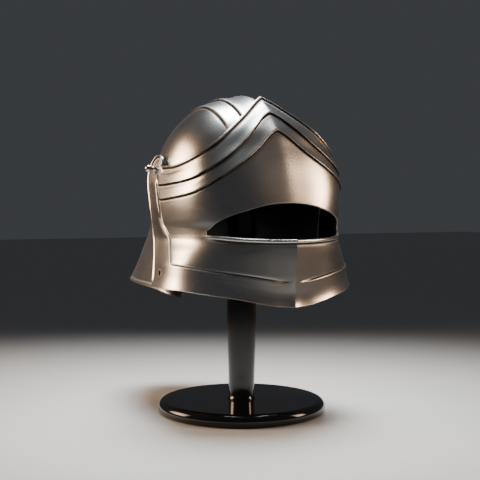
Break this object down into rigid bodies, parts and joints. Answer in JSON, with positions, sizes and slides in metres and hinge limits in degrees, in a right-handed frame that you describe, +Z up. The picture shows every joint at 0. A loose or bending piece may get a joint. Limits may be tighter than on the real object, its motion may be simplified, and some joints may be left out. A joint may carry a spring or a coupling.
{
  "type": "visored sallet helmet on stand",
  "caption": "Steel sallet with a fluted bowl, flared neck guard and pivoted visor with sight, ridges and keel, on a round black display stand.",
  "frame": {"origin": "centre of the stand's underside", "axes": "+Z up, the helmet faces -Y, the wearer's left is +X"},
  "size_m": [0.236, 0.3493, 0.3759],
  "materials": {
    "bowl_steel": "satin polished steel",
    "visor_steel": "satin polished steel",
    "pivot_steel": "polished steel",
    "stand_black": "high gloss black lacquer",
    "rest_felt": "black felt"
  },
  "bodies": {
    "helmet": {"bowl": "bowl_steel", "pivot_right": "pivot_steel", "pivot_left": "pivot_steel", "stand_base": "stand_black", "stand_post": "stand_black", "stand_rest": "rest_felt"},
    "visor": {"visor": "visor_steel"}
  },
  "joints": [
    {"name": "visor_pivot", "type": "hinge", "parent": "helmet", "child": "visor", "pos_m": [0, 0.028, 0.288], "axis": [-1, 0, 0], "range_deg": [0, 50]}
  ]
}
